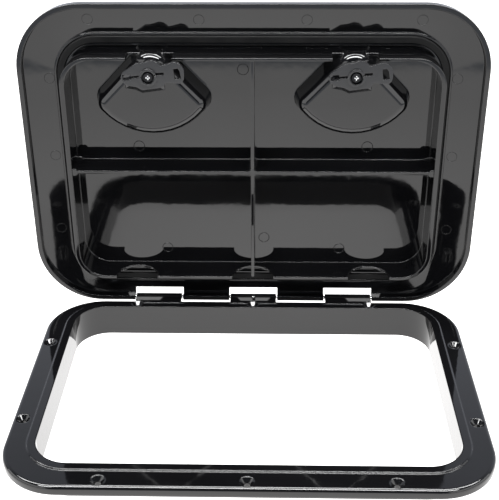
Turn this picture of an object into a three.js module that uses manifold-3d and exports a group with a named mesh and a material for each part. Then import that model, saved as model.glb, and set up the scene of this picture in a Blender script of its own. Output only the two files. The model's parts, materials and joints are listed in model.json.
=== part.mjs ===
// Deck access hatch: a moulded frame for the deck cut-out and a hinged lid with two quarter-turn latches.
// Millimetres, +X to the right, +Y to the hinge side, +Z up. The lid is drawn shut, in the frame's own
// coordinates (z = 0 on top of the deck flange), and then swung open about the hinge pins.
import * as THREE from 'three';
import { mergeVertices } from 'three/addons/utils/BufferGeometryUtils.js';
import Module from 'manifold-3d';

const wasm = await Module();
wasm.setup();

// ---------------------------------------------------------------- driving dimensions
const FLANGE = { width: 354, depth: 245.6, corner: 45.5, height: 6.9, edgeRound: 3 };
const OPENING = { width: 308.4, front: -98.6, rear: 109.7, corner: 27 };
const RIM = { width: 7, height: 1, edge: 0.8 };
const NECK = { wall: 3, bottom: -26.9 };
const DECK_SCREW = { hole: 2.3, head: 5.4, depth: 3.2, padRadius: 8 };
const BED_CHANNEL = { depth: 3.4, lip: 5, land: 4.8, rearLand: 9 };

const LID = { width: 380, front: -134.5, rear: 134, corner: 54.5, top: 7.5, skirtEdge: -5, skin: 3,
  wall: 4 };
const LID_EDGE = { round: 3.2, fall: 3, inset: 3 };
const PLUG = { width: 306, front: -96.6, rear: 101.6, corner: 24, edge: -22.5 };
const PLUG_WALL = { side: 3.8, end: 2.2 };
const RIB = { wall: 2.6, edge: -21.4, crossY: 1.1, bossRadius: 3.2, bossEdge: -21.9 };
const REAR_ARCH = { spacing: 101, radius: 18, crown: -2.5 };
const CAM_GAP = { width: 36.5, edge: -8 };
const GROOVE = { lip: 1.8, edge: 2.2, width: 6.5 };
const GROOVE_INNER = { width: 306, front: -101.3, rear: 109.4, corner: 27 };
const SEAL = { clearance: 0.3, bottom: 1.4, round: 0.9 };

const HINGE = { y: 132.4, z: -1.8, knuckleRadius: 3.2, pitch: 42.5, clearance: 0.7, endGap: 0.4 };
const PIN_WINDOW = { half: 0.9, front: 6, rear: 1, below: 0.6, above: 5 };
const PIN = { radius: 1.5, bore: 1.8, inner: 0.4, outer: 108.5, pocket: 111.5 };
const LID_RELIEF = 125.1;
const WEB = { bottom: -5, top: 0.5, root: 118 };
const OPEN_ANGLE = Math.PI / 2;

const LATCH = { x: 81, y: -83.9 };
const RECESS = { reach: 54, apex: 14.9, corner: 9, halfAngle: 43.3, floor: -14, wall: 3, draft: 3.2 };
const RECESS_FACE = { round: 7, front: -97.8 };
const BOSS = { radius: 8.5, edge: -23.2 };
const SPINDLE = { radius: 4.4, bore: 5 };
const DRIVE = { radius: 4, flat: 3.2, start: -24.4, end: -28.4, clearance: 0.3 };
const O_RING = { z: -17.6, centre: 3.9, section: 0.8, groove: 2.85, grooveWidth: 2.2 };
const INSERT = { outer: 2.35, bore: 1.85, pocket: 2.6, top: -14.5, bottom: -28.2, pocketTop: -14.1 };
const HANDLE = { hub: 8.8, top: 6.9, under: -1.2, length: 47, tipHalf: 7.2, neckHalf: 5.6, rest: 222.5,
  edge: 0.8, edgeDepth: 1.2 };
const CAM = { face: -24.6, armTop: -27.3, armBottom: -30.5, bottom: -32.4, hub: 6.9, rest: 5,
  seat: -28.7, counterbore: 5.2, grooveSlope: 2.6, ramp: 3.4 };
const SCREW = { shank: 1.55, tip: -17, head: 4, crown: 0.7, headTop: -30.4, headBottom: -32.1,
  slotWidth: 0.8, slotLength: 3.4, slotDepth: 1.1 };
const FLAT_WASHER = { outer: 4.5, inner: 1.9, low: -29.4, high: -28.8 };
const LOCK_WASHER = { outer: 3.4, inner: 1.9, low: -30.2, high: -29.6, gap: 0.8 };
const FRICTION_WASHER = { outer: 8, inner: 5, low: -24.3, high: -23.5 };
const SLACK = 0.3;
const SKIN_SLICE = 0.05;
const FAR = 400;
const ARC = { lid: 10, flange: 9, plug: 7, fan: 6, countersink: 24, hub: 20, bore: 16, small: 12 };

// ---------------------------------------------------------------- materials
function finish(name, color, roughness, metalness) {
  return new THREE.MeshStandardMaterial({ name, color, roughness, metalness });
}

const plastic = (name, color, roughness) => finish(name, color, roughness, 0);
const metal = (name, color, roughness) => finish(name, color, roughness, 1);
const HOUSING = plastic('housing', 0x0b0b0c, 0.12);
const LATCH_PLASTIC = plastic('latch', 0x101011, 0.22);
const RUBBER = plastic('seal', 0x080808, 0.8);
const NYLON = plastic('nylon', 0xd8d5cb, 0.5);
const STAINLESS = metal('stainless', 0xc9ccd0, 0.25);
const BLACKENED = metal('blackened', 0x1b1b1d, 0.3);
const BRASS = metal('brass', 0xb5923f, 0.3);

// ---------------------------------------------------------------- solids
function solid(geometry) {
  const bare = new THREE.BufferGeometry();
  bare.setAttribute('position', geometry.getAttribute('position'));
  if (geometry.index) bare.setIndex(geometry.index);
  const merged = mergeVertices(bare, 1e-4);
  const vertProperties = new Float32Array(merged.getAttribute('position').array);
  const triVerts = new Uint32Array(merged.index.array);
  return new wasm.Manifold(new wasm.Mesh({ numProp: 3, vertProperties, triVerts }));
}

function piece(name, body, material) {
  const mesh = body.getMesh();
  const geometry = new THREE.BufferGeometry();
  geometry.setAttribute('position', new THREE.BufferAttribute(new Float32Array(mesh.vertProperties), 3));
  geometry.setIndex(new THREE.BufferAttribute(new Uint32Array(mesh.triVerts), 1));
  geometry.computeVertexNormals();
  const node = new THREE.Mesh(geometry, material);
  node.name = name;
  return node;
}

function join(first, ...rest) {
  return rest.reduce((sum, part) => sum.add(part), first);
}

function cut(from, ...tools) {
  return tools.reduce((left, tool) => left.subtract(tool), from);
}

// A prism of the outline between two heights. Its edges can be rounded or its sides drafted: the outline
// holds at both ends and swells by `swell` over the height `over`, in `steps` steps.
function prism(outline, low, high, { swell = 0, over = 0, steps = 1, curves = ARC.plug } = {}) {
  const depth = high - low - 2 * over;
  const bevel = { bevelEnabled: swell > 0, bevelThickness: over, bevelSize: swell, bevelSegments: steps };
  const geometry = new THREE.ExtrudeGeometry(outline, { depth, curveSegments: curves, steps: 1, ...bevel });
  geometry.translate(0, 0, low + over);
  return solid(geometry);
}

function box(x0, x1, y0, y1, z0, z1) {
  const geometry = new THREE.BoxGeometry(x1 - x0, y1 - y0, z1 - z0);
  geometry.translate((x0 + x1) / 2, (y0 + y1) / 2, (z0 + z1) / 2);
  return solid(geometry);
}

function upright(x, y, radius, low, high, sides = ARC.hub, topRadius = radius) {
  const geometry = new THREE.CylinderGeometry(topRadius, radius, high - low, sides);
  geometry.rotateX(Math.PI / 2);
  geometry.translate(x, y, (low + high) / 2);
  return solid(geometry);
}

function along(x0, x1, y, z, radius, sides = ARC.bore) {
  const geometry = new THREE.CylinderGeometry(radius, radius, x1 - x0, sides);
  geometry.rotateZ(Math.PI / 2);
  geometry.translate((x0 + x1) / 2, y, z);
  return solid(geometry);
}

function roundedRect(width, front, rear, corner) {
  const x = width / 2;
  const shape = new THREE.Shape();
  shape.moveTo(-x + corner, front);
  shape.lineTo(x - corner, front);
  shape.absarc(x - corner, front + corner, corner, -Math.PI / 2, 0, false);
  shape.lineTo(x, rear - corner);
  shape.absarc(x - corner, rear - corner, corner, 0, Math.PI / 2, false);
  shape.lineTo(-x + corner, rear);
  shape.absarc(-x + corner, rear - corner, corner, Math.PI / 2, Math.PI, false);
  shape.lineTo(-x, front + corner);
  shape.absarc(-x + corner, front + corner, corner, Math.PI, 1.5 * Math.PI, false);
  return shape;
}

// The same outline moved outwards by a constant distance (inwards when it is negative).
function grown({ width, front, rear, corner }, by) {
  return roundedRect(width + 2 * by, front - by, rear + by, corner + by);
}

// A wall that follows the outline, from `inner` to `outer` away from it.
function loop(outline, inner, outer, low, high) {
  return cut(prism(grown(outline, outer), low, high), prism(grown(outline, inner), low - 1, high + 1));
}

// ---------------------------------------------------------------- deck frame
const FLANGE_RECT = {
  width: FLANGE.width,
  front: -FLANGE.depth / 2,
  rear: FLANGE.depth / 2,
  corner: FLANGE.corner,
};
const KNUCKLE_CENTRES = [-2 * HINGE.pitch, 0, 2 * HINGE.pitch];
const DECK_SCREWS = [
  [-169, 54], [169, 54], [-169, -48.5], [169, -48.5],
  [-103, -115], [0, -115], [103, -115],
  [-103, 116.2], [0, 116.2], [103, 116.2],
];

function knuckle(centre, half) {
  return along(centre - half, centre + half, HINGE.y, HINGE.z, HINGE.knuckleRadius);
}

function deckFlange() {
  const round = FLANGE.edgeRound;
  const rounded = { swell: round, over: round, steps: 3, curves: ARC.flange };
  const whole = prism(grown(FLANGE_RECT, -round), -2 * FLANGE.height, 0, rounded);
  const belowDeck = box(-FAR, FAR, -FAR, FAR, -3 * FLANGE.height, -FLANGE.height);
  return cut(whole, belowDeck);
}

function beddingChannel() {
  const low = -FLANGE.height - 1;
  const high = -FLANGE.height + BED_CHANNEL.depth;
  const outer = prism(grown(FLANGE_RECT, -BED_CHANNEL.lip), low, high, { curves: ARC.flange });
  const land = { ...OPENING, rear: OPENING.rear + BED_CHANNEL.rearLand };
  const inner = prism(grown(land, NECK.wall + BED_CHANNEL.land), low - 1, high + 1);
  const { padRadius } = DECK_SCREW;
  const pads = DECK_SCREWS.map(([x, y]) => upright(x, y, padRadius, low - 1, high + 1, ARC.small));
  return cut(outer, inner, ...pads);
}

function deckScrewHole([x, y]) {
  const { hole, head, depth } = DECK_SCREW;
  const shank = upright(x, y, hole, -FLANGE.height - 1, 2, ARC.countersink);
  const cone = upright(x, y, hole, -depth, 0.02, ARC.countersink, head);
  const clear = upright(x, y, head, 0, RIM.height + 1, ARC.countersink);
  return join(shank, cone, clear);
}

function deckFrame() {
  const edge = RIM.edge;
  const rim = prism(grown(OPENING, RIM.width - edge), -edge, RIM.height, { swell: edge, over: edge });
  const neck = prism(grown(OPENING, NECK.wall), NECK.bottom, -1);
  const { half: windowHalf, front, rear, below, above } = PIN_WINDOW;
  const webs = KNUCKLE_CENTRES.map((centre) => {
    const half = HINGE.pitch / 2 - HINGE.clearance / 2 - HINGE.endGap;
    const web = box(centre - half, centre + half, WEB.root, HINGE.y, WEB.bottom, WEB.top);
    return join(knuckle(centre, half), web);
  });
  const opening = prism(grown(OPENING, 0), NECK.bottom - 1, RIM.height + 1);
  const bore = along(-FAR / 2, FAR / 2, HINGE.y, HINGE.z, PIN.bore);
  const pinWindow = box(
    -windowHalf, windowHalf,
    HINGE.y - front, HINGE.y - rear,
    HINGE.z - below, HINGE.z + above,
  );
  const whole = join(deckFlange(), rim, neck, ...webs);
  return cut(whole, opening, beddingChannel(), bore, pinWindow, ...DECK_SCREWS.map(deckScrewHole));
}

// ---------------------------------------------------------------- hinge pins
function hingePin(side) {
  const ends = [side * PIN.inner, side * PIN.outer].sort((a, b) => a - b);
  return along(ends[0], ends[1], HINGE.y, HINGE.z, PIN.radius);
}

// ---------------------------------------------------------------- lid
const LID_RECT = { width: LID.width, front: LID.front, rear: LID.rear, corner: LID.corner };
const UNDERSIDE = LID.top - LID.skin;

// The skin is flat inside the seal groove and falls towards the edge of the lid all round it.
function fallingSkin(top, inset) {
  const flat = prism(grown(GROOVE_INNER, GROOVE.width + GROOVE.lip), top - SKIN_SLICE, top);
  const low = top - LID_EDGE.fall;
  const edge = prism(grown(LID_RECT, -inset), low - SKIN_SLICE, low, { curves: ARC.lid });
  return wasm.Manifold.hull([flat, edge]);
}

function lidShell() {
  const { round, inset, fall } = LID_EDGE;
  const rounded = { swell: round, over: round, steps: 3, curves: ARC.lid };
  const shoulder = LID.top - fall;
  const height = shoulder - LID.skirtEdge;
  const rim = prism(grown(LID_RECT, -round), LID.skirtEdge - height, shoulder, rounded);
  const below = box(-FAR, FAR, -FAR, FAR, LID.skirtEdge - 2 * height, LID.skirtEdge);
  const inside = grown(LID_RECT, -LID.wall);
  const hollow = prism(inside, LID.skirtEdge - 1, UNDERSIDE - fall, { curves: ARC.lid });
  const outside = join(cut(rim, below), fallingSkin(LID.top, inset));
  return cut(outside, hollow, fallingSkin(UNDERSIDE, LID.wall));
}

function plugWall() {
  const inside = {
    width: PLUG.width - 2 * PLUG_WALL.side,
    front: PLUG.front + PLUG_WALL.end,
    rear: PLUG.rear - PLUG_WALL.end,
    corner: PLUG.corner - PLUG_WALL.end,
  };
  const wall = cut(
    prism(grown(PLUG, 0), PLUG.edge, UNDERSIDE + 1),
    prism(grown(inside, 0), PLUG.edge - 1, UNDERSIDE + 2),
  );
  const camGaps = [-LATCH.x, LATCH.x].map((x) => {
    const half = CAM_GAP.width / 2;
    return box(x - half, x + half, PLUG.front - 1, inside.front + 1, PLUG.edge - 1, CAM_GAP.edge);
  });
  const archZ = REAR_ARCH.crown - REAR_ARCH.radius;
  const arches = [-REAR_ARCH.spacing, 0, REAR_ARCH.spacing].map((x) => {
    const arch = new THREE.Shape();
    arch.moveTo(x - REAR_ARCH.radius, PLUG.edge - 1);
    arch.lineTo(x + REAR_ARCH.radius, PLUG.edge - 1);
    arch.absarc(x, archZ, REAR_ARCH.radius, 0, Math.PI, false);
    const geometry = new THREE.ExtrudeGeometry(arch, { depth: 10, curveSegments: 14, bevelEnabled: false });
    geometry.rotateX(Math.PI / 2);
    geometry.translate(0, PLUG.rear + 3, 0);
    return solid(geometry);
  });
  return cut(wall, ...camGaps, ...arches);
}

function ribs() {
  const halfX = PLUG.width / 2 - PLUG_WALL.side + 0.5;
  const front = PLUG.front + PLUG_WALL.end - 0.5;
  const rear = PLUG.rear - PLUG_WALL.end + 0.5;
  const half = RIB.wall / 2;
  const cross = box(-halfX, halfX, RIB.crossY - half, RIB.crossY + half, RIB.edge, UNDERSIDE + 1);
  const long = box(-half, half, front, rear, RIB.edge, UNDERSIDE + 1);
  const bosses = [-halfX + 2, 0, halfX - 2].map((x) =>
    upright(x, RIB.crossY, RIB.bossRadius, RIB.bossEdge, UNDERSIDE + 1, ARC.small));
  return [cross, long, ...bosses];
}

function grooveLips() {
  const inner = loop(GROOVE_INNER, -GROOVE.lip, 0, GROOVE.edge, UNDERSIDE + 1);
  const outer = loop(GROOVE_INNER, GROOVE.width, GROOVE.width + GROOVE.lip, GROOVE.edge, UNDERSIDE + 1);
  return [inner, outer];
}

function sealRing() {
  const { clearance, bottom, round } = SEAL;
  const rounded = { swell: round, over: round, steps: 1 };
  const outer = GROOVE.width - clearance - round;
  return cut(
    prism(grown(GROOVE_INNER, outer), bottom, UNDERSIDE - clearance, rounded),
    prism(grown(GROOVE_INNER, clearance), bottom - 1, UNDERSIDE + 1),
  );
}

// Fan-shaped outline of a latch recess: an arc about the latch's pivot, two straight sides that touch a
// small circle about the same pivot, and rounded corners between them.
function fan(inset) {
  const half = THREE.MathUtils.degToRad(RECESS.halfAngle);
  const inFrom = RECESS.apex - RECESS.corner;
  const outFrom = RECESS.reach - RECESS.corner;
  const reach = Math.sqrt(outFrom ** 2 - inFrom ** 2);
  const cornerX = inFrom * Math.cos(half) + reach * Math.sin(half);
  const cornerY = reach * Math.cos(half) - inFrom * Math.sin(half);
  const cornerAngle = Math.atan2(cornerY, cornerX);
  const corner = RECESS.corner - inset;
  const shape = new THREE.Shape();
  shape.absarc(0, 0, RECESS.apex - inset, Math.PI + half, -half, false);
  shape.absarc(cornerX, cornerY, corner, -half, cornerAngle, false);
  shape.absarc(0, 0, RECESS.reach - inset, cornerAngle, Math.PI - cornerAngle, false);
  shape.absarc(-cornerX, cornerY, corner, Math.PI - cornerAngle, Math.PI + half, false);
  return shape;
}

// A block of the fan outline at its low end, whose sides spread by the draft up to its high end.
function draftedFan(inset, low, high, x) {
  const over = high - low;
  const spread = { swell: RECESS.draft, over, curves: ARC.fan };
  const both = prism(fan(inset), low, high + over + 0.02, spread);
  const above = box(-FAR, FAR, -FAR, FAR, high, high + 2 * over + 1);
  return cut(both, above).translate(x, LATCH.y, 0);
}

function recessShell(x) {
  const face = RECESS.floor - RECESS.wall;
  const round = RECESS_FACE.round;
  const ahead = box(-FAR, FAR, -FAR, RECESS_FACE.front, -FAR, FAR);
  const rounded = { swell: round, over: round, steps: 5, curves: ARC.fan };
  const edge = prism(fan(round), face, face + 2 * round + 1, rounded).translate(x, LATCH.y, 0);
  const sides = draftedFan(0, face + round, UNDERSIDE + 1, x);
  const boss = upright(x, LATCH.y, BOSS.radius, BOSS.edge, RECESS.floor - 1);
  return join(cut(join(edge, sides), ahead), boss);
}

function recessCut(x) {
  const frontWall = box(-FAR, FAR, -FAR, RECESS_FACE.front + RECESS.wall, -FAR, FAR);
  const pocket = cut(draftedFan(RECESS.wall, RECESS.floor, LID.top + 1, x), frontWall);
  const bore = upright(x, LATCH.y, SPINDLE.bore, BOSS.edge - 1, RECESS.floor + 1);
  return join(pocket, bore);
}

function lid() {
  const knuckles = [-HINGE.pitch, HINGE.pitch].map((centre) =>
    knuckle(centre, HINGE.pitch / 2 - HINGE.clearance / 2));
  const reliefs = KNUCKLE_CENTRES.map((centre) => {
    const half = HINGE.pitch / 2 + HINGE.clearance / 2;
    return box(centre - half, centre + half, LID_RELIEF, HINGE.y + 10, LID.skirtEdge - 3, LID.top + 1);
  });
  const bore = along(-PIN.pocket, PIN.pocket, HINGE.y, HINGE.z, PIN.bore);
  const shells = [-LATCH.x, LATCH.x].map(recessShell);
  const recesses = [-LATCH.x, LATCH.x].map(recessCut);
  const whole = join(lidShell(), plugWall(), ...grooveLips(), ...ribs(), ...shells);
  return cut(join(cut(whole, ...reliefs), ...knuckles), bore, ...recesses);
}

// ---------------------------------------------------------------- latch, drawn about its own spindle
// Seen from below the lid, angles run from +X towards the lid's free edge.
function turned(angle, reach, side = 0) {
  const a = THREE.MathUtils.degToRad(angle);
  return [reach * Math.cos(a) - side * Math.sin(a), -(reach * Math.sin(a) + side * Math.cos(a))];
}

function spindleParts() {
  const floor = RECESS.floor + SLACK;
  const round = upright(0, 0, SPINDLE.radius, DRIVE.start, floor + 1);
  const drive = cut(
    upright(0, 0, DRIVE.radius, DRIVE.end, DRIVE.start + 1),
    box(-FAR, FAR, DRIVE.flat, FAR, DRIVE.end - 1, DRIVE.start),
    box(-FAR, FAR, -FAR, -DRIVE.flat, DRIVE.end - 1, DRIVE.start),
  );
  const half = O_RING.grooveWidth / 2;
  const groove = cut(
    upright(0, 0, SPINDLE.radius + 1, O_RING.z - half, O_RING.z + half),
    upright(0, 0, O_RING.groove, O_RING.z - 3, O_RING.z + 3),
  );
  const pocket = upright(0, 0, INSERT.pocket, DRIVE.end - 1, INSERT.pocketTop, ARC.bore);
  return { shaft: join(round, drive), cuts: [groove, pocket] };
}

function handle() {
  const lever = new THREE.Shape();
  const { length, tipHalf, neckHalf, hub } = HANDLE;
  lever.moveTo(0, -neckHalf);
  lever.lineTo(hub, -neckHalf);
  lever.bezierCurveTo(hub + 8, -neckHalf, length - 22, -tipHalf, length - tipHalf, -tipHalf);
  lever.absarc(length - tipHalf, 0, tipHalf, -Math.PI / 2, Math.PI / 2, false);
  lever.bezierCurveTo(length - 22, tipHalf, hub + 8, neckHalf, hub, neckHalf);
  lever.lineTo(0, neckHalf);
  lever.closePath();
  const rounded = { swell: HANDLE.edge, over: HANDLE.edgeDepth };
  const blade = prism(new THREE.Shape(lever.getPoints(ARC.fan)), HANDLE.under, HANDLE.top, rounded);
  const angle = THREE.MathUtils.radToDeg(Math.atan2(...turned(HANDLE.rest, 1).reverse()));
  const hubBody = upright(0, 0, hub, RECESS.floor + SLACK, HANDLE.top);
  const { shaft, cuts } = spindleParts();
  return cut(join(blade.rotate([0, 0, angle]), hubBody, shaft), ...cuts);
}

function camArmOutline() {
  const plate = new THREE.Shape();
  plate.moveTo(-21.3, 1.4);
  plate.lineTo(-20.6, -2);
  plate.lineTo(-17.2, -5.6);
  plate.lineTo(-10.4, -7.1);
  plate.lineTo(-5.6, -10);
  plate.lineTo(8.5, -9.3);
  plate.lineTo(11.1, -8.5);
  plate.lineTo(13.5, -5.4);
  plate.lineTo(24, -7.4);
  plate.quadraticCurveTo(27.4, -6.8, 28.1, -2);
  plate.lineTo(28.4, 3.4);
  plate.quadraticCurveTo(26.8, 9.6, 21.3, 10.2);
  plate.lineTo(16.2, 9.1);
  plate.lineTo(11, 8.2);
  plate.quadraticCurveTo(8, 13, 3, 13.2);
  plate.lineTo(-2, 11.8);
  plate.lineTo(-8, 11.6);
  plate.lineTo(-16.4, 6.8);
  plate.quadraticCurveTo(-20.6, 5.2, -21.3, 1.4);
  return plate;
}

// The sloping edge that draws the lid down as the cam turns under the neck of the frame.
function camRamp() {
  const edge = new THREE.Shape();
  edge.moveTo(-14.5, 0);
  edge.lineTo(-15.5, -5.8);
  edge.lineTo(-10.4, -7.1);
  edge.lineTo(-5.6, -10);
  edge.lineTo(8.5, -9.3);
  edge.lineTo(9.5, 0);
  edge.closePath();
  const { armTop, armBottom, ramp } = CAM;
  const over = armTop - armBottom;
  const both = prism(edge, -armTop - over, -armTop + over, { swell: ramp, over });
  return cut(both, box(-FAR, FAR, -FAR, FAR, -armTop - 2 * over, -armTop));
}

// A narrow V-shaped groove along a line on the outer face of the arm.
function armGroove([x0, y0], [x1, y1], width) {
  const half = width / Math.SQRT2 / 2;
  const length = Math.hypot(x1 - x0, y1 - y0);
  const angle = THREE.MathUtils.radToDeg(Math.atan2(y1 - y0, x1 - x0));
  const bar = box(0, length, -half, half, -half, half).rotate([45, 0, 0]);
  return bar.scale([1, 1, CAM.grooveSlope]).rotate([0, 0, angle]).translate(x0, y0, -CAM.armBottom);
}

function cam() {
  const { face, armTop, armBottom, bottom, counterbore, seat, hub } = CAM;
  const arm = join(prism(camArmOutline(), -armTop, -armBottom, { curves: 4 }), camRamp());
  const hubRound = upright(0, 0, hub, -face, -bottom);
  const d = DRIVE.clearance;
  const driveHole = cut(
    upright(0, 0, DRIVE.radius + d, -face - 1, -bottom),
    box(-FAR, FAR, DRIVE.flat + d, FAR, -face - 2, -bottom + 1),
    box(-FAR, FAR, -FAR, -DRIVE.flat - d, -face - 2, -bottom + 1),
  );
  const headPocket = upright(0, 0, counterbore, -seat, -bottom + 1);
  const grooves = [
    armGroove([-19.8, 1.2], [-13.2, 1.2], 4.4),
    armGroove([-14, 1], [-5.2, 1], 1.8),
    armGroove([5.2, 1.7], [12.6, 1.7], 2.2),
  ];
  const eye = new THREE.Shape();
  eye.moveTo(20.3, 4.8);
  eye.lineTo(20.6, -3.3);
  eye.lineTo(25.6, -3.3);
  eye.lineTo(25.2, 2.8);
  eye.lineTo(23.8, 5);
  eye.closePath();
  const eyeHole = prism(eye, -armTop - 1, -armBottom + 1);
  const whole = cut(join(arm, hubRound), driveHole, headPocket, ...grooves, eyeHole);
  return whole.rotate([180, 0, 0]).rotate([0, 0, -CAM.rest]);
}

function ring(outer, inner, low, high, sides = ARC.bore) {
  return cut(upright(0, 0, outer, low, high, sides), upright(0, 0, inner, low - 1, high + 1, sides));
}

function oRing() {
  const geometry = new THREE.TorusGeometry(O_RING.centre, O_RING.section, 8, 20);
  geometry.translate(0, 0, O_RING.z);
  return solid(geometry);
}

function washer({ outer, inner, low, high }, sides) {
  return ring(outer, inner, low, high, sides);
}

function lockWasher() {
  const { outer, low, high, gap } = LOCK_WASHER;
  const split = box(0, outer + 1, -gap / 2, gap / 2, low - 1, high + 1);
  return cut(washer(LOCK_WASHER), split);
}

function camScrew() {
  const { shank, tip, head, crown, headTop, headBottom, slotWidth, slotLength, slotDepth } = SCREW;
  const thread = upright(0, 0, shank, headTop - 0.2, tip, ARC.small);
  const cap = upright(0, 0, head - crown, headBottom, headTop, ARC.hub, head);
  const half = slotWidth / 2;
  const reach = slotLength / 2;
  const slots = [
    box(-reach, reach, -half, half, headBottom - 1, headBottom + slotDepth),
    box(-half, half, -reach, reach, headBottom - 1, headBottom + slotDepth),
  ];
  return cut(join(thread, cap), ...slots);
}

function latch(side) {
  const group = new THREE.Group();
  const { outer, bore, bottom, top } = INSERT;
  group.add(piece(`${side}_latch_handle`, handle(), LATCH_PLASTIC));
  group.add(piece(`${side}_latch_o_ring`, oRing(), RUBBER));
  group.add(piece(`${side}_latch_thread_insert`, ring(outer, bore, bottom, top), BRASS));
  group.add(piece(`${side}_latch_friction_washer`, washer(FRICTION_WASHER, ARC.hub), NYLON));
  group.add(piece(`${side}_latch_cam`, cam(), LATCH_PLASTIC));
  group.add(piece(`${side}_latch_flat_washer`, washer(FLAT_WASHER), BLACKENED));
  group.add(piece(`${side}_latch_lock_washer`, lockWasher(), BLACKENED));
  group.add(piece(`${side}_latch_screw`, camScrew(), BLACKENED));
  return group;
}

// ---------------------------------------------------------------- assembly
const hatch = new THREE.Group();
const standing = new THREE.Group();
const backFace = HINGE.y - HINGE.z + LID.top;
standing.position.set(0, -(backFace - FLANGE.depth / 2) / 2, -NECK.bottom);
hatch.add(standing);
standing.add(piece('deck_frame', deckFrame(), HOUSING));
standing.add(piece('left_hinge_pin', hingePin(-1), STAINLESS));
standing.add(piece('right_hinge_pin', hingePin(1), STAINLESS));

const swing = new THREE.Group();
swing.position.set(0, HINGE.y, HINGE.z);
swing.rotation.x = -OPEN_ANGLE;
standing.add(swing);
const shut = new THREE.Group();
shut.position.set(0, -HINGE.y, -HINGE.z);
swing.add(shut);
shut.add(piece('lid_shell', lid(), HOUSING));
shut.add(piece('lid_seal', sealRing(), RUBBER));
for (const [side, x] of [['left', -LATCH.x], ['right', LATCH.x]]) {
  const assembly = latch(side);
  assembly.position.set(x, LATCH.y, 0);
  shut.add(assembly);
}

export default hatch;
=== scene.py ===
import json
import math

import bmesh
import bpy
from mathutils import Matrix, Vector
from mathutils.bvhtree import BVHTree


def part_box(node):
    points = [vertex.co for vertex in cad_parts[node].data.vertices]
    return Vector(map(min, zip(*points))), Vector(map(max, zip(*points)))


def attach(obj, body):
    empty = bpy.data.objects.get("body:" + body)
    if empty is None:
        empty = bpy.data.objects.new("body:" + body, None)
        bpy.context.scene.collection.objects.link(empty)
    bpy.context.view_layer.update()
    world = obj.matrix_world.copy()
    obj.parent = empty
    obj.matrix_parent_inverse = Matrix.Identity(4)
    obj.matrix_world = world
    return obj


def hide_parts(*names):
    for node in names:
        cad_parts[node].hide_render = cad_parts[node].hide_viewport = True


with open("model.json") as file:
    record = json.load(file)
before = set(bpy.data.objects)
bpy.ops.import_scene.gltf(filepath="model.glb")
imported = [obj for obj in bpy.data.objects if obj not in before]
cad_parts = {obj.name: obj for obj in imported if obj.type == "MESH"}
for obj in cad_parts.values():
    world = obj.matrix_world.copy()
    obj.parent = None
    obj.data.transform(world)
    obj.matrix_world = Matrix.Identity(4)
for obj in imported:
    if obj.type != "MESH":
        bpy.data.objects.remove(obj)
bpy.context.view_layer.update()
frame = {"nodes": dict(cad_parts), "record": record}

# ---------------------------------------------------------------- sizes, in metres
LENS_MM = 71.2
CAMERA_PLACE = (0.01428, -0.64461, 0.48946)
CAMERA_PITCH = 0.49656
CAMERA_YAW = 0.02278
CAMERA_ROLL = -0.00485

# The floor glows from the middle out to GLOW_REACH, a painted pool of light, and turns to a cool, dim
# painted shade ahead of the hatch, beyond FLOOR_FRONT.
FLOOR_SIZE = 14
FLOOR_DROP = 0.0004
FLOOR_GLOW = (2.45, 1.7)
GLOW_REACH = 0.5
FLOOR_PALE = (1.0, 0.99, 0.985)
FLOOR_PAINTED_SHADE = (0.36, 0.39, 0.44)
FLOOR_FRONT = (-0.635, -0.59)
ROOM_BEHIND = (0.82, 0.86, 0.96)
ROOM_DARK = (0.10, 0.11, 0.13)
# Each softbox: name, place, point it faces, width, height and radiance.
SOFTBOXES = (
    ("overhead", (0.0, 0.3, 1.7), (0.0, 0.0, 0.1), 3.0, 0.5, 22.0),
    ("ahead", (0.0, -0.95, 1.85), (0.0, 0.1, 0.2), 2.6, 0.4, 36.0),
    ("left", (-1.8, -0.9, 0.75), (0.0, 0.0, 0.2), 3.0, 1.1, 2.4),
    ("right", (1.8, -0.9, 0.75), (0.0, 0.0, 0.2), 3.0, 1.1, 2.4),
)

# Real roundings: every edge sharper than EDGE_ANGLE, to a width for each moulding or for the small parts.
EDGE_ANGLE = math.radians(33)
FLAT_ANGLE = math.radians(0.5)
ROUNDING = {"deck_frame": 0.0005, "lid_shell": 0.0005, "lid_seal": 0.0006}
SMALL_ROUNDING = 0.0003

# Each ejector mark: how far from the middle of the lid, and how far below its top edge.
EJECTOR_MARKS = {
    "flange": (
        (-0.131, 0.0141), (-0.0425, 0.0146), (0.043, 0.0146), (0.134, 0.0146),
        (-0.166, 0.0631), (0.166, 0.0631), (-0.1675, 0.1311), (0.1675, 0.1311),
        (-0.169, 0.2001), (0.169, 0.2001),
    ),
    "pocket": (
        (-0.008, 0.0556), (0.0095, 0.2091), (-0.096, 0.1226), (0.096, 0.1226),
        (-0.076, 0.2196), (0.076, 0.2196),
    ),
}
MARK_RADIUS = {"flange": 0.0042, "pocket": 0.0045}
MARK_BEAD = {"flange": 0.00018, "pocket": 0.00032}

# The two latch spindles stand at SPINDLE_X on each side; the rest sizes the painted glint, a cross over the
# recess of a latch screw.
SCREW_LOW, SCREW_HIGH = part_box("left_latch_screw")
SPINDLE_X = -(SCREW_LOW.x + SCREW_HIGH.x) / 2
SPINDLE_Z = (SCREW_LOW.z + SCREW_HIGH.z) / 2
RECESS_ARM = 0.00045
RECESS_RADIUS = 0.00175
RECESS_HEART = 0.0005


# ---------------------------------------------------------------- materials
def new_material(name):
    mat = bpy.data.materials.new(name)
    mat.use_nodes = True
    tree = mat.node_tree
    return mat, tree, tree.nodes["Principled BSDF"]


def place_noise(tree, scale, detail=2.0, roughness=0.5):
    coords = tree.nodes.new("ShaderNodeTexCoord")
    noise = tree.nodes.new("ShaderNodeTexNoise")
    noise.inputs["Scale"].default_value = scale
    noise.inputs["Detail"].default_value = detail
    noise.inputs["Roughness"].default_value = roughness
    tree.links.new(coords.outputs["Object"], noise.inputs["Vector"])
    return noise


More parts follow.
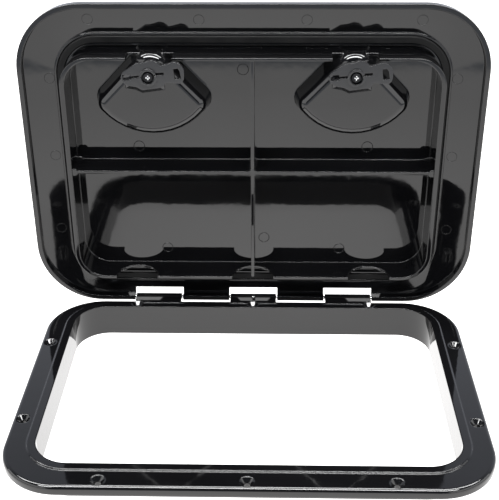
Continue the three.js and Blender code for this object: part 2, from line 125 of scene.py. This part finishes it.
def ramp(tree, source, low, high, start=0.35, end=0.65):
    node = tree.nodes.new("ShaderNodeMapRange")
    node.inputs["From Min"].default_value = start
    node.inputs["From Max"].default_value = end
    node.inputs["To Min"].default_value = low
    node.inputs["To Max"].default_value = high
    tree.links.new(source, node.inputs["Value"])
    return node.outputs["Result"]


def math_node(tree, operation, first, second=None):
    node = tree.nodes.new("ShaderNodeMath")
    node.operation = operation
    for socket, value in zip(node.inputs, (first, second)):
        if isinstance(value, float):
            socket.default_value = value
        elif value is not None:
            tree.links.new(value, socket)
    return node.outputs["Value"]


def colour_mix(tree, source, dark, light):
    node = tree.nodes.new("ShaderNodeValToRGB")
    node.color_ramp.elements[0].position = 0.35
    node.color_ramp.elements[0].color = (*dark, 1)
    node.color_ramp.elements[1].position = 0.7
    node.color_ramp.elements[1].color = (*light, 1)
    tree.links.new(source, node.inputs["Fac"])
    return node.outputs["Color"]


def bump(tree, bsdf, height, strength, distance, edge=0.0):
    """Surface ripple, with the shading eased over `edge` at every edge and inside corner."""
    node = tree.nodes.new("ShaderNodeBump")
    if edge:
        eased = tree.nodes.new("ShaderNodeBevel")
        eased.samples = 8
        eased.inputs["Radius"].default_value = edge
        tree.links.new(eased.outputs["Normal"], node.inputs["Normal"])
    node.inputs["Strength"].default_value = strength
    node.inputs["Distance"].default_value = distance
    tree.links.new(height, node.inputs["Height"])
    tree.links.new(node.outputs["Normal"], bsdf.inputs["Normal"])


def moulded_plastic(name, dark, light, gloss, ripple, edge=0.0):
    mat, tree, bsdf = new_material(name)
    cloud = place_noise(tree, 9.0, 3.0)
    tree.links.new(colour_mix(tree, cloud.outputs["Fac"], dark, light), bsdf.inputs["Base Color"])
    haze = place_noise(tree, 26.0, 4.0, 0.6)
    tree.links.new(ramp(tree, haze.outputs["Fac"], *gloss), bsdf.inputs["Roughness"])
    bsdf.inputs["IOR"].default_value = 1.49
    peel = place_noise(tree, ripple, 1.5)
    bump(tree, bsdf, peel.outputs["Fac"], 0.06, 0.0004, edge)
    return mat


def rubber(name):
    mat, tree, bsdf = new_material(name)
    cloud = place_noise(tree, 60.0, 4.0)
    tint = colour_mix(tree, cloud.outputs["Fac"], (0.0030, 0.0030, 0.0031), (0.0055, 0.0055, 0.0056))
    tree.links.new(tint, bsdf.inputs["Base Color"])
    tree.links.new(ramp(tree, cloud.outputs["Fac"], 0.45, 0.65), bsdf.inputs["Roughness"])
    bsdf.inputs["Specular IOR Level"].default_value = 0.12
    grain = place_noise(tree, 900.0, 2.0)
    bump(tree, bsdf, grain.outputs["Fac"], 0.25, 0.0002)
    return mat


def coated_steel(name):
    """Black-coated steel, with a painted glint: light metal in a cross over the driver recess of each latch
    screw.
    """
    mat, tree, bsdf = new_material(name)
    cloud = place_noise(tree, 300.0, 3.0)
    coords = tree.nodes.new("ShaderNodeTexCoord")
    split = tree.nodes.new("ShaderNodeSeparateXYZ")
    tree.links.new(coords.outputs["Object"], split.inputs["Vector"])
    aside = math_node(tree, "ABSOLUTE", split.outputs["X"])
    away_x = math_node(tree, "SUBTRACT", aside, SPINDLE_X)
    away_z = math_node(tree, "SUBTRACT", split.outputs["Z"], SPINDLE_Z)
    square_x = math_node(tree, "MULTIPLY", away_x, away_x)
    square_z = math_node(tree, "MULTIPLY", away_z, away_z)
    radius = math_node(tree, "SQRT", math_node(tree, "ADD", square_x, square_z))
    arm_x = math_node(tree, "LESS_THAN", math_node(tree, "ABSOLUTE", away_x), RECESS_ARM)
    arm_z = math_node(tree, "LESS_THAN", math_node(tree, "ABSOLUTE", away_z), RECESS_ARM)
    cross = math_node(tree, "MAXIMUM", arm_x, arm_z)
    # Painted glint mask: a cross of light metal in the recess, in the ring between RECESS_HEART and
    # RECESS_RADIUS.
    painted_glint = math_node(tree, "MULTIPLY", cross, math_node(tree, "LESS_THAN", radius, RECESS_RADIUS))
    painted_glint = math_node(tree, "MULTIPLY", painted_glint, math_node(tree, "GREATER_THAN", radius, RECESS_HEART))
    black = colour_mix(tree, cloud.outputs["Fac"], (0.006, 0.006, 0.007), (0.012, 0.012, 0.013))
    # The painted glint's light metal colour goes over the black coat.
    mix = tree.nodes.new("ShaderNodeMix")
    mix.data_type = "RGBA"
    tree.links.new(painted_glint, mix.inputs["Factor"])
    tree.links.new(black, mix.inputs["A"])
    mix.inputs["B"].default_value = (0.8, 0.8, 0.8, 1)
    tree.links.new(mix.outputs["Result"], bsdf.inputs["Base Color"])
    tree.links.new(painted_glint, bsdf.inputs["Metallic"])
    tree.links.new(ramp(tree, cloud.outputs["Fac"], 0.3, 0.45), bsdf.inputs["Roughness"])
    bsdf.inputs["Specular IOR Level"].default_value = 0.12
    bump(tree, bsdf, cloud.outputs["Fac"], 0.1, 0.0001)
    return mat


def metal(name, dark, light, gloss):
    mat, tree, bsdf = new_material(name)
    cloud = place_noise(tree, 300.0, 3.0)
    tree.links.new(colour_mix(tree, cloud.outputs["Fac"], dark, light), bsdf.inputs["Base Color"])
    tree.links.new(ramp(tree, cloud.outputs["Fac"], *gloss), bsdf.inputs["Roughness"])
    bsdf.inputs["Metallic"].default_value = 1.0
    bump(tree, bsdf, cloud.outputs["Fac"], 0.1, 0.0001)
    return mat


MATERIALS = {
    "housing": moulded_plastic(
        "gloss_black_abs", (0.0014, 0.0014, 0.0016), (0.0022, 0.0022, 0.0025),
        gloss=(0.03, 0.06), ripple=110.0, edge=0.0012,
    ),
    "latch": moulded_plastic(
        "black_nylon", (0.007, 0.007, 0.0075), (0.011, 0.011, 0.0115),
        gloss=(0.12, 0.2), ripple=260.0, edge=0.0006,
    ),
    "seal": rubber("epdm_rubber"),
    "nylon": moulded_plastic(
        "natural_nylon", (0.62, 0.60, 0.54), (0.74, 0.72, 0.66),
        gloss=(0.35, 0.5), ripple=300.0,
    ),
    "stainless": metal("stainless_steel", (0.62, 0.62, 0.63), (0.78, 0.78, 0.78), (0.16, 0.28)),
    "blackened": coated_steel("blackened_steel"),
    "brass": metal("turned_brass", (0.66, 0.48, 0.20), (0.80, 0.62, 0.30), (0.2, 0.32)),
}
SLOT_OF = {row["node"]: row["material_slot"] for row in frame["record"]["subparts"]}
BODIES = frame["record"]["behaviour"]["bodies"]
BODY_OF = {node: body for body, nodes in BODIES.items() for node in nodes}


# ---------------------------------------------------------------- refined copies of the CAD nodes
def finish_piece(obj, slot, body):
    obj.data.materials.clear()
    obj.data.materials.append(MATERIALS[slot])
    for face in obj.data.polygons:
        face.material_index = 0
    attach(obj, body)


def refined(node, width, segments):
    """A copy of a CAD node with its flat facets merged and every sharp edge rounded off."""
    mesh = frame["nodes"][node].data.copy()
    work = bmesh.new()
    work.from_mesh(mesh)
    bmesh.ops.remove_doubles(work, verts=work.verts, dist=1e-6)
    bmesh.ops.dissolve_limit(work, angle_limit=FLAT_ANGLE, verts=work.verts, edges=work.edges)
    bmesh.ops.recalc_face_normals(work, faces=work.faces)
    for face in work.faces:
        face.smooth = True
    work.to_mesh(mesh)
    work.free()
    obj = bpy.data.objects.new(f"{node}_moulded", mesh)
    bpy.context.scene.collection.objects.link(obj)
    bevel = obj.modifiers.new("edges", "BEVEL")
    bevel.width = width
    bevel.segments = segments
    bevel.limit_method = "ANGLE"
    bevel.angle_limit = EDGE_ANGLE
    bevel.use_clamp_overlap = True
    bevel.harden_normals = False
    bevel.miter_outer = "MITER_ARC"
    weighted = obj.modifiers.new("shading", "WEIGHTED_NORMAL")
    weighted.keep_sharp = False
    weighted.weight = 60
    finish_piece(obj, SLOT_OF[node], BODY_OF[node])
    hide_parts(node)
    return obj


for part in frame["nodes"]:
    if part in ROUNDING:
        refined(part, ROUNDING[part], 3)
    else:
        refined(part, SMALL_ROUNDING, 2)


# ---------------------------------------------------------------- ejector marks on the underside of the lid
def ring_on(surface, place, radius, bead):
    """A low ring moulded on the lid, where a line along +Y through (x, z) first meets it."""
    hit, normal, _, _ = surface.ray_cast(Vector((place[0], -1, place[1])), Vector((0, 1, 0)))
    turn = normal.to_track_quat("Z", "Y").to_matrix().to_4x4()
    bpy.ops.mesh.primitive_torus_add(
        major_radius=radius, minor_radius=bead, major_segments=40, minor_segments=8)
    ring = bpy.context.object
    ring.data.transform(Matrix.Translation(hit) @ turn)
    return ring


def ejector_marks():
    lid = frame["nodes"]["lid_shell"]
    work = bmesh.new()
    work.from_mesh(lid.data)
    surface = BVHTree.FromBMesh(work)
    work.free()
    low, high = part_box("lid_shell")
    middle = (low.x + high.x) / 2
    rings = []
    for kind, places in EJECTOR_MARKS.items():
        for aside, down in places:
            place = (middle + aside, high.z - down)
            rings.append(ring_on(surface, place, MARK_RADIUS[kind], MARK_BEAD[kind]))
    bpy.ops.object.select_all(action="DESELECT")
    for ring in rings:
        ring.select_set(True)
    bpy.context.view_layer.objects.active = rings[0]
    bpy.ops.object.join()
    marks = bpy.context.object
    marks.name = "lid_ejector_marks"
    for face in marks.data.polygons:
        face.use_smooth = True
    finish_piece(marks, "housing", "lid")


ejector_marks()


# ---------------------------------------------------------------- camera, floor and light
def make_camera():
    data = bpy.data.cameras.new("camera")
    data.lens = LENS_MM
    data.sensor_width = 36
    data.clip_start = 0.01
    data.clip_end = 50
    cam = bpy.data.objects.new("camera", data)
    ahead = Vector((
        -math.sin(CAMERA_YAW) * math.cos(CAMERA_PITCH),
        math.cos(CAMERA_YAW) * math.cos(CAMERA_PITCH),
        -math.sin(CAMERA_PITCH),
    ))
    level = Vector((math.cos(CAMERA_YAW), math.sin(CAMERA_YAW), 0))
    over = level.cross(ahead)
    right = level * math.cos(CAMERA_ROLL) + over * math.sin(CAMERA_ROLL)
    up = over * math.cos(CAMERA_ROLL) - level * math.sin(CAMERA_ROLL)
    turn = Matrix((right, up, -ahead)).transposed()
    cam.matrix_world = Matrix.Translation(CAMERA_PLACE) @ turn.to_4x4()
    bpy.context.scene.collection.objects.link(cam)
    bpy.context.scene.camera = cam


def make_floor():
    bpy.ops.mesh.primitive_plane_add(size=FLOOR_SIZE, location=(0, 0, -FLOOR_DROP))
    floor = bpy.context.object
    floor.name = "floor"
    mat, tree, bsdf = new_material("floor")
    bsdf.inputs["Base Color"].default_value = (0.08, 0.08, 0.08, 1)
    bsdf.inputs["Roughness"].default_value = 0.9
    bsdf.inputs["Specular IOR Level"].default_value = 0.0
    coords = tree.nodes.new("ShaderNodeTexCoord")
    reach = tree.nodes.new("ShaderNodeVectorMath")
    reach.operation = "LENGTH"
    tree.links.new(coords.outputs["Object"], reach.inputs[0])
    # Painted pool of light: the floor's glow fades from the middle outwards.
    glow = ramp(tree, reach.outputs["Value"], *FLOOR_GLOW, start=0.0, end=GLOW_REACH)
    tree.links.new(glow, bsdf.inputs["Emission Strength"])
    split = tree.nodes.new("ShaderNodeSeparateXYZ")
    tree.links.new(coords.outputs["Object"], split.inputs["Vector"])
    lit = ramp(tree, split.outputs["Y"], 0.0, 1.0, *FLOOR_FRONT)
    # Painted shade: the glow turns cool and dim ahead of the hatch.
    tint = tree.nodes.new("ShaderNodeMix")
    tint.data_type = "RGBA"
    tree.links.new(lit, tint.inputs["Factor"])
    tint.inputs["A"].default_value = (*FLOOR_PAINTED_SHADE, 1)
    tint.inputs["B"].default_value = (*FLOOR_PALE, 1)
    tree.links.new(tint.outputs["Result"], bsdf.inputs["Emission Color"])
    floor.data.materials.append(mat)


def add_softbox(name, place, aim, width, height, radiance):
    data = bpy.data.lights.new(name, "AREA")
    data.shape = "RECTANGLE"
    data.size = width
    data.size_y = height
    data.energy = radiance * math.pi * width * height
    lamp = bpy.data.objects.new(name, data)
    look = (Vector(aim) - Vector(place)).normalized()
    lamp.matrix_world = Matrix.Translation(place) @ look.to_track_quat("-Z", "Y").to_matrix().to_4x4()
    bpy.context.scene.collection.objects.link(lamp)


def make_light():
    world = bpy.data.worlds.new("studio")
    world.use_nodes = True
    tree = world.node_tree
    coords = tree.nodes.new("ShaderNodeTexCoord")
    room = tree.nodes.new("ShaderNodeValToRGB")
    bands = room.color_ramp.elements
    bands[0].color = (*ROOM_DARK, 1)
    bands[1].color = (*ROOM_BEHIND, 1)
    split = tree.nodes.new("ShaderNodeSeparateXYZ")
    tree.links.new(coords.outputs["Generated"], split.inputs["Vector"])
    behind = ramp(tree, split.outputs["Y"], 0.0, 1.0, 0.1, 0.5)
    low = ramp(tree, split.outputs["Z"], 1.0, 0.0, 0.55, 0.85)
    tree.links.new(math_node(tree, "MULTIPLY", behind, low), room.inputs["Fac"])
    sky = tree.nodes["Background"]
    tree.links.new(room.outputs["Color"], sky.inputs["Color"])
    sky.inputs["Strength"].default_value = 1.0
    bpy.context.scene.world = world
    for name, place, aim, width, height, radiance in SOFTBOXES:
        add_softbox(name, place, aim, width, height, radiance)
    view = bpy.context.scene.view_settings
    view.view_transform = "Standard"
    view.look = "None"


make_camera()
make_floor()
make_light()
